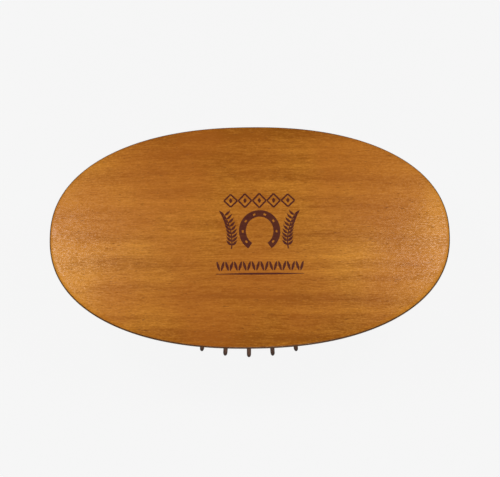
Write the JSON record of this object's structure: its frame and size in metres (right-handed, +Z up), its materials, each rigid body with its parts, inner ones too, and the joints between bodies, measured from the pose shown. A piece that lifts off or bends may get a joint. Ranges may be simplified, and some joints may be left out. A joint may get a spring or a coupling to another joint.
{
  "type": "curry brush",
  "caption": "Palm-held oval curry brush: a crowned wooden back with a finger groove, and round-tipped wooden pins standing in a domed rubber cushion that gives when pressed.",
  "frame": {"origin": "on the surface the brush stands on, under the centre of its oval, at the tip of the centre pin", "axes": "+X along the oval's length, +Y across it, +Z up, out of the crowned wooden back"},
  "size_m": [0.165, 0.096, 0.0436],
  "materials": {
    "lacquered_wood": "satin amber lacquer over fine straight grain",
    "pin_wood": "smooth turned brown wood",
    "cushion_rubber": "matte moulded"
  },
  "bodies": {
    "back": {"back": "lacquered_wood"},
    "pad_middle": {"cushion": "cushion_rubber", "centre_pin": "pin_wood", "inner_pins_back": "pin_wood", "inner_pins_front": "pin_wood", "inner_pins_left": "pin_wood", "inner_pins_right": "pin_wood", "second_pins_back": "pin_wood", "second_pins_front": "pin_wood", "second_pins_left": "pin_wood", "second_pins_right": "pin_wood"},
    "outer_pins": {"outer_pins_back": "pin_wood", "outer_pins_front": "pin_wood", "outer_pins_left": "pin_wood", "outer_pins_right": "pin_wood"},
    "fourth_pins": {"fourth_pins_back": "pin_wood", "fourth_pins_front": "pin_wood", "fourth_pins_left": "pin_wood", "fourth_pins_right": "pin_wood"},
    "third_pins": {"third_pins_back": "pin_wood", "third_pins_front": "pin_wood", "third_pins_left": "pin_wood", "third_pins_right": "pin_wood"}
  },
  "joints": [
    {"name": "cushion_press", "type": "slide", "parent": "back", "child": "pad_middle", "axis": [0, 0, 1], "range_m": [0, 0.005], "stiffness_N_per_m": 3500, "deforming": ["cushion"]},
    {"name": "third_ring_press", "type": "slide", "parent": "back", "child": "third_pins", "axis": [0, 0, 1], "range_m": [0, 0.00426], "stiffness_N_per_m": 1500},
    {"name": "fourth_ring_press", "type": "slide", "parent": "back", "child": "fourth_pins", "axis": [0, 0, 1], "range_m": [0, 0.00327], "stiffness_N_per_m": 1500},
    {"name": "outer_ring_press", "type": "slide", "parent": "back", "child": "outer_pins", "axis": [0, 0, 1], "range_m": [0, 0.00145], "stiffness_N_per_m": 1500}
  ],
  "couplings": [
    {"joint": "third_ring_press", "follows": "cushion_press", "ratio": 0.8516},
    {"joint": "fourth_ring_press", "follows": "cushion_press", "ratio": 0.6528},
    {"joint": "outer_ring_press", "follows": "cushion_press", "ratio": 0.29}
  ]
}
